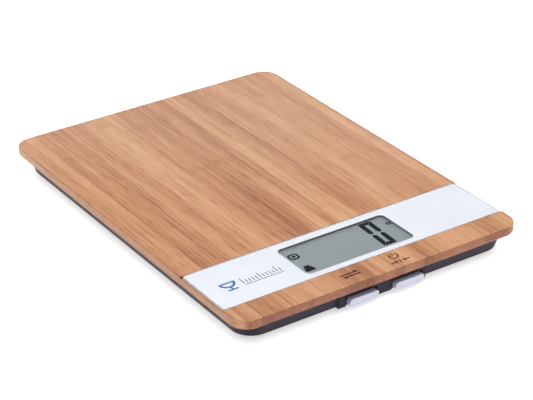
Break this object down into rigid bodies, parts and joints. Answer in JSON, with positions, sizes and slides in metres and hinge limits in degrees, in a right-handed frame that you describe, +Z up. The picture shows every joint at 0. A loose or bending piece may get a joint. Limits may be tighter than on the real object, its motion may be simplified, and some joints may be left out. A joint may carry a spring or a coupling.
{
  "type": "kitchen scale",
  "caption": "Slim kitchen scale: bamboo weighing board with a display strip and two front push buttons, on a dark tray with load-cell feet.",
  "frame": {"origin": "on the table, under the middle of the board", "axes": "+X across the board to the right, +Y from the button side to the back, +Z up"},
  "size_m": [0.165, 0.226, 0.017],
  "materials": {
    "bamboo": "satin",
    "white_strip": "gloss",
    "clear_lens": "polished",
    "display_glass": "satin",
    "inner_plastic": "matte",
    "contact_rubber": "matte",
    "circuit_board": "satin",
    "chip_plastic": "matte",
    "can_metal": "satin",
    "silver_plastic": "satin",
    "dark_plastic": "fine texture",
    "screw_steel": "satin",
    "contact_brass": "nickel plated",
    "wire_cover": "satin",
    "plate_steel": "satin",
    "foot_rubber": "matte"
  },
  "bodies": {
    "platform": {"bamboo_board": "bamboo", "clear_strip": "clear_lens", "window_film": "white_strip", "lcd_front_glass": "display_glass", "lcd_rear_glass": "display_glass", "lcd_frame": "inner_plastic", "zebra_strip": "contact_rubber", "control_board": "circuit_board", "controller_chip": "chip_plastic", "filter_capacitors": "can_metal", "mode_switch": "chip_plastic", "zero_switch": "chip_plastic", "base_shell": "dark_plastic", "housing_screws": "screw_steel", "control_board_screws": "screw_steel", "coin_cell": "can_metal", "battery_contact_negative": "contact_brass", "battery_contact_positive": "contact_brass", "battery_wires": "wire_cover", "load_cell_clips": "inner_plastic", "strain_gauges": "circuit_board", "load_cell_front_left": "plate_steel", "sensor_wires_front_left": "wire_cover", "foot_cup_front_left": "dark_plastic", "foot_pad_front_left": "foot_rubber", "load_cell_front_right": "plate_steel", "sensor_wires_front_right": "wire_cover", "foot_cup_front_right": "dark_plastic", "foot_pad_front_right": "foot_rubber", "load_cell_back_left": "plate_steel", "sensor_wires_back_left": "wire_cover", "foot_cup_back_left": "dark_plastic", "foot_pad_back_left": "foot_rubber", "load_cell_back_right": "plate_steel", "sensor_wires_back_right": "wire_cover", "foot_cup_back_right": "dark_plastic", "foot_pad_back_right": "foot_rubber"},
    "mode_key": {"mode_button": "silver_plastic", "mode_plunger": "inner_plastic"},
    "zero_key": {"zero_button": "silver_plastic", "zero_plunger": "inner_plastic"},
    "battery_door": {"battery_door": "dark_plastic"}
  },
  "joints": [
    {"name": "mode_press", "type": "slide", "parent": "platform", "child": "mode_key", "axis": [0, 1, 0], "range_m": [0, 0.0006], "stiffness_N_per_m": 3500},
    {"name": "zero_press", "type": "slide", "parent": "platform", "child": "zero_key", "axis": [0, 1, 0], "range_m": [0, 0.0006], "stiffness_N_per_m": 3500},
    {"name": "battery_door_slide", "type": "slide", "parent": "platform", "child": "battery_door", "axis": [0, 1, 0], "range_m": [0, 0.026]}
  ]
}
